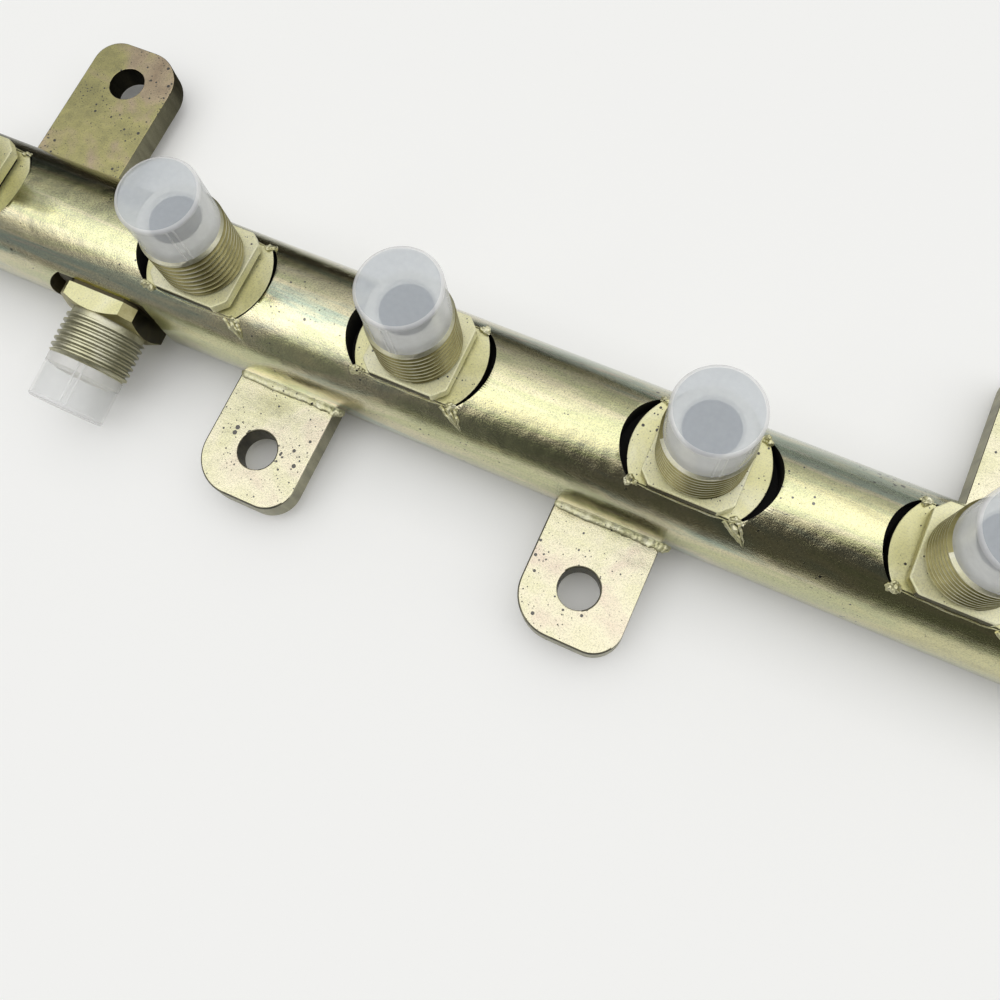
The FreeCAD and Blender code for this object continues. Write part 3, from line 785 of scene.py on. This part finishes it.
def weld_bead(name, along, bead_form, turned_round, seed):
    depth, height, half_width, half_height = bead_form
    reach = TAB_WIDTH / 2 + WELD_OVERRUN
    bead = cylinder(name, half_width, -reach, reach, sides=20)
    bead.data.transform(Matrix.Scale(half_height / half_width, 4, (1, 0, 0)))
    bead.data.transform(Matrix.Rotation(math.pi / 2, 4, "Y"))
    edit(bead, "EDGE")
    pick(bead, "EDGE", lambda a, b: abs(a.x - b.x) > 0.01)
    bpy.ops.mesh.subdivide(number_cuts=130)
    close()
    # The bead narrows at both ends, and is laid smoother at its left end than its right
    for vert in bead.data.vertices:
        near_end = min(1, max(0, (reach - abs(vert.co.x)) / (1.2 * MM)))
        vert.co.yz *= 0.45 + 0.55 * math.sqrt(near_end)
        vert.co.y += 0.12 * MM * math.sin(vert.co.x / (2.1 * MM) + seed)
    # Ripples 1.3 mm wide, and grit 0.45 mm wide over them
    for amount, grain, grain_seed in ((0.32 * MM, 1.3 * MM, seed), (0.3 * MM, 0.45 * MM, seed + 5)):
        roughen(bead, amount, grain, grain_seed, [rightward(vert.co.x / reach) for vert in bead.data.vertices])
    way = 1 if turned_round else -1
    bead.data.transform(Matrix.Translation((along + WELD_OVERRUN, AXIS_Y + way * depth, height)))
    return smooth(finish_with(bead, weld_finish), 50)


# Burrs: pushed-up metal where the milling left the tube, in a port's own frame

def ridge(name, path, width, height, taper, seed):
    # A lip along a path of (x, degrees round the tube from the port), on the tube's skin
    lip = cylinder(name, 1, 0, 1, sides=10)
    edit(lip, "EDGE")
    pick(lip, "EDGE", lambda a, b: abs(a.z - b.z) > 0.5)
    bpy.ops.mesh.subdivide(number_cuts=70)
    close()
    spans = len(path) - 1
    for vert in lip.data.vertices:
        share = min(max(vert.co.z, 0), 1)
        step = min(int(share * spans), spans - 1)
        part = share * spans - step
        (x0, turn0), (x1, turn1) = path[step], path[step + 1]
        along = (x0 + (x1 - x0) * part) * MM
        turn = math.radians(turn0 + (turn1 - turn0) * part)
        up = Vector((0, -math.sin(turn), math.cos(turn)))
        ahead = Vector(((x1 - x0) * MM, -math.cos(turn) * math.radians(turn1 - turn0) * RAIL_RADIUS,
                        -math.sin(turn) * math.radians(turn1 - turn0) * RAIL_RADIUS)).normalized()
        side = ahead.cross(up).normalized()
        uneven = 1 + 0.5 * noise.noise(Vector((share * 6 + seed, seed * 0.7, 0)))
        size = uneven * (min(1, (1 - share) * 1.6) if taper else min(1, 5 * share, 5 * (1 - share)))
        wander = 0.25 * MM * noise.noise(Vector((share * 5, seed, 3)))
        vert.co = (Vector((along, 0, 0)) + up * RAIL_RADIUS + side * (vert.co.x * width / 2 * size + wander)
                   + up * max(vert.co.y, -0.5) * height * size)
    lip.data.update()
    return lip


def blob(name, along, turn_degrees, size, seed):
    # A crumpled bead of metal at a corner of the connector's land
    turn = math.radians(turn_degrees)
    deselect()
    bpy.ops.mesh.primitive_ico_sphere_add(subdivisions=5, radius=1)
    lump = named(name)
    lump.data.transform(Matrix.Diagonal((*(part * MM for part in size), 1)))
    roughen(lump, 0.75 * MM, 1.3 * MM, seed)
    roughen(lump, 0.25 * MM, 0.45 * MM, seed + 3)
    skin = (along * MM, -RAIL_RADIUS * math.sin(turn), RAIL_RADIUS * math.cos(turn))
    lump.data.transform(Matrix.Translation(skin) @ Matrix.Rotation(turn, 4, "X"))
    return lump


def burrs(name, seed):
    lips = [ridge("front_lip", [(-10.6, 37.2), (-6, 38.4), (0, 38.8), (6, 38.6), (10.6, 37.4)], 0.3 * MM,
                  0.2 * MM, False, seed),
            ridge("rear_lip", [(-10.4, -37), (0, -38.6), (10.4, -37)], 0.35 * MM, 0.25 * MM, False, seed + 7)]
    # The milling cutter left a fan of three folds at one corner, and crumbs at all four
    lips += [ridge("fold", path, width * MM, 0.5 * MM, True, seed + step)
             for step, (path, width) in enumerate((([(8.6, 39.0), (11.2, 46), (13.9, 53.5)], 0.8),
                                                   ([(10.1, 38.2), (12.0, 45.5), (14.0, 54)], 1.1),
                                                   ([(11.7, 37.8), (12.9, 45), (14.1, 53.5)], 0.7)))]
    lips += [blob("crumb", along, turn, size, seed + step)
             for step, (along, turn, size) in enumerate(((10.9, 36.5, (1.4, 0.7, 0.5)),
                                                         (-10.7, 37, (1.6, 0.9, 0.6)),
                                                         (10.4, -36.5, (1.3, 1.0, 0.6)),
                                                         (-10.5, -36.8, (1.2, 0.8, 0.5))))]
    return smooth(finish_with(join(name, lips), weld_finish), 55)


# Build

root_pieces = []

tube = rail_tube()
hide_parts("rail_tube")
root_pieces.append(tube)

top_form = connector("top_connector_form", TOP_COLLAR_HEIGHT, False)
side_form = connector("side_connector_form", SIDE_COLLAR_HEIGHT, True)
for node, place in PORTS.items():
    piece = copy_of(side_form if node == "side_connector" else top_form, node + "_threaded", place)
    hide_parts(node)
    root_pieces.append(piece)
    if node != "side_connector":
        burr = burrs("burrs_at_" + node, 17 * len(root_pieces))
        burr.data.transform(place)
        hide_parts(node)
        root_pieces.append(burr)
bpy.data.objects.remove(top_form)
bpy.data.objects.remove(side_form)

caps = []
for node, place in PORTS.items():
    clear = node == "side_connector"
    cap = transport_cap("cap_of_" + node, CAP_TURNS[node], clear_cap_finish if clear else cap_finish,
                        clear_cap_finish if clear else cap_end_finish)
    cap.data.transform(place)
    caps.append(cap)
    root_pieces.append(cap)
for cap in caps:
    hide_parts("transport_caps")

TABS = {"front_left": ((-FRONT_PITCH / 2, 0), FRONT_TAB_REACH, False),
        "front_right": ((FRONT_PITCH / 2, 0), FRONT_TAB_REACH, False),
        "rear_left": ((-REAR_PITCH / 2, REAR_HOLES_Y), REAR_TAB_REACH, True),
        "rear_right": ((REAR_PITCH / 2, REAR_HOLES_Y), REAR_TAB_REACH, True)}
for seed, (name, (hole_place, reach, turned_round)) in enumerate(TABS.items()):
    # The rear left tab gets the painted shade copy of the plate's colour
    plate = tab("tab_%s_plate" % name, hole_place, reach, turned_round,
                shaded_tab_finish if name == "rear_left" else tab_finish)
    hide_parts("tab_" + name)
    upper = weld_bead("bead_%s_upper" % name, hole_place[0], UPPER_BEAD, turned_round, seed)
    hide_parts("weld_%s_upper" % name)
    lower = weld_bead("bead_%s_lower" % name, hole_place[0], LOWER_BEAD, turned_round, seed + 9)
    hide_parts("weld_%s_lower" % name)
    root_pieces += [plate, upper, lower]

finish_with(frame["nodes"]["end_plugs"], plug_finish)

for piece in root_pieces:
    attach(piece, "root")

# Floor, light and camera

deselect()
bpy.ops.mesh.primitive_plane_add(size=4, location=(0, 0, FLOOR_HEIGHT))
floor = finish_with(settle(named("floor")), pale_floor())

world = bpy.data.worlds.new("studio")
bpy.context.scene.world = world
world.use_nodes = True
sky = world.node_tree
sky.nodes.clear()
# The studio is long along X: its brightness changes round the tube's axis, from 0 at
# the front horizon over the top to 1 at the rear horizon, and a little along X
toward = add(sky, "ShaderNodeSeparateXYZ", {"Vector": add(sky, "ShaderNodeTexCoord").outputs["Generated"]})
front = add(sky, "ShaderNodeMath", {0: toward.outputs["Y"], 1: -1.0}, operation="MULTIPLY")
angle = add(sky, "ShaderNodeMath", {0: toward.outputs["Z"], 1: front.outputs["Value"]}, operation="ARCTAN2")
turn = add(sky, "ShaderNodeMath", {0: angle.outputs["Value"], 1: math.pi}, operation="DIVIDE")
ROUND_STOPS = [(0.0, 0.09), (0.06, 0.08), (0.12, 0.045), (0.18, 0.06), (0.21, 0.14), (0.235, 0.4), (0.27, 1.35),
               (0.31, 1.9), (0.42, 2.1), (0.54, 1.8), (0.60, 1.15), (0.67, 0.74), (0.75, 0.56), (0.82, 0.4),
               (0.88, 0.2), (0.92, 0.07), (0.97, 0.02), (1.0, 0.02)]
ALONG_STOPS = [(0.0, 0.06), (0.12, 0.2), (0.165, 0.6), (0.2, 0.95), (0.31, 0.98), (0.4, 0.86),
               (0.465, 0.68), (0.56, 0.93), (0.65, 0.78), (1.0, 0.75)]
# The lamp's front edge stands higher towards +X, and the dark behind it starts lower
# towards -X: (place along X, shift of the turn from 0.5)
FRONT_SHIFTS = [(0.0, 0.53), (0.2, 0.54), (0.28, 0.46), (0.31, 0.44), (0.4, 0.54), (0.465, 0.56), (0.56, 0.68),
                (1.0, 0.68)]
REAR_SHIFTS = [(0.0, 0.46), (0.2, 0.46), (0.29, 0.53), (0.4, 0.57), (0.55, 0.63), (1.0, 0.63)]
# What the front low part of the room gives back: (place along X, brightness)
FRONT_FILL = [(0.0, 0.3), (0.2, 0.3), (0.29, 0.22), (0.4, 0.1), (0.45, 0.05), (1.0, 0.06)]
place_along = add(sky, "ShaderNodeMapRange", {"Value": toward.outputs["X"], "From Min": -1.0, "From Max": 1.0})
edges = [add(sky, "ShaderNodeValToRGB", {"Fac": place_along.outputs["Result"]},
             [(position, (value,) * 3 + (1,)) for position, value in shifts])
         for shifts in (FRONT_SHIFTS, REAR_SHIFTS)]
upper_half = add(sky, "ShaderNodeMapRange", {"Value": turn.outputs["Value"], "From Min": 0.52,
                                             "From Max": 0.68})
edge = add(sky, "ShaderNodeMixRGB", {"Fac": upper_half.outputs["Result"], "Color1": edges[0].outputs["Color"],
                                     "Color2": edges[1].outputs["Color"]})
moved = add(sky, "ShaderNodeMath", {0: edge.outputs["Color"], 1: 0.5}, operation="SUBTRACT")
shifted = add(sky, "ShaderNodeMath", {0: turn.outputs["Value"], 1: moved.outputs["Value"]},
              operation="SUBTRACT")
LAMP = 2.1
around = add(sky, "ShaderNodeValToRGB", {"Fac": shifted.outputs["Value"]},
             [(position, (value / LAMP, value / LAMP, value * (1 if 0.2 < position < 0.86 else 0.8) / LAMP, 1))
              for position, value in ROUND_STOPS])
lengthways = add(sky, "ShaderNodeValToRGB", {"Fac": place_along.outputs["Result"]},
                 [(position, (value,) * 3 + (1,)) for position, value in ALONG_STOPS])
studio = add(sky, "ShaderNodeMixRGB", {"Fac": 1.0, "Color1": around.outputs["Color"],
                                       "Color2": lengthways.outputs["Color"]}, blend_type="MULTIPLY")
fill = add(sky, "ShaderNodeValToRGB", {"Fac": place_along.outputs["Result"]},
           [(position, (value / LAMP,) * 3 + (1,)) for position, value in FRONT_FILL])
lower_front = add(sky, "ShaderNodeMath", {0: turn.outputs["Value"], 1: 0.35}, operation="LESS_THAN")
front_light = add(sky, "ShaderNodeMixRGB", {"Fac": 1.0, "Color1": fill.outputs["Color"],
                                            "Color2": lower_front.outputs["Value"]}, blend_type="MULTIPLY")
filled = add(sky, "ShaderNodeMixRGB", {"Fac": 1.0, "Color1": studio.outputs["Color"],
                                       "Color2": front_light.outputs["Color"]}, blend_type="LIGHTEN")
backdrop = add(sky, "ShaderNodeBackground", {"Color": filled.outputs["Color"], "Strength": LAMP})
add(sky, "ShaderNodeOutputWorld", {"Surface": backdrop.outputs["Background"]})

camera_data = bpy.data.cameras.new("camera")
camera_data.sensor_width = 36
camera_data.lens = 34.613
camera_data.clip_start = 0.005
camera = bpy.data.objects.new("camera", camera_data)
camera.location = (52.710 * MM, -32.872 * MM, 202.958 * MM)
camera.rotation_euler = [math.radians(angle) for angle in (15.5904, 4.4934, 24.5457)]
bpy.context.collection.objects.link(camera)
bpy.context.scene.camera = camera
bpy.context.scene.view_settings.view_transform = "Standard"
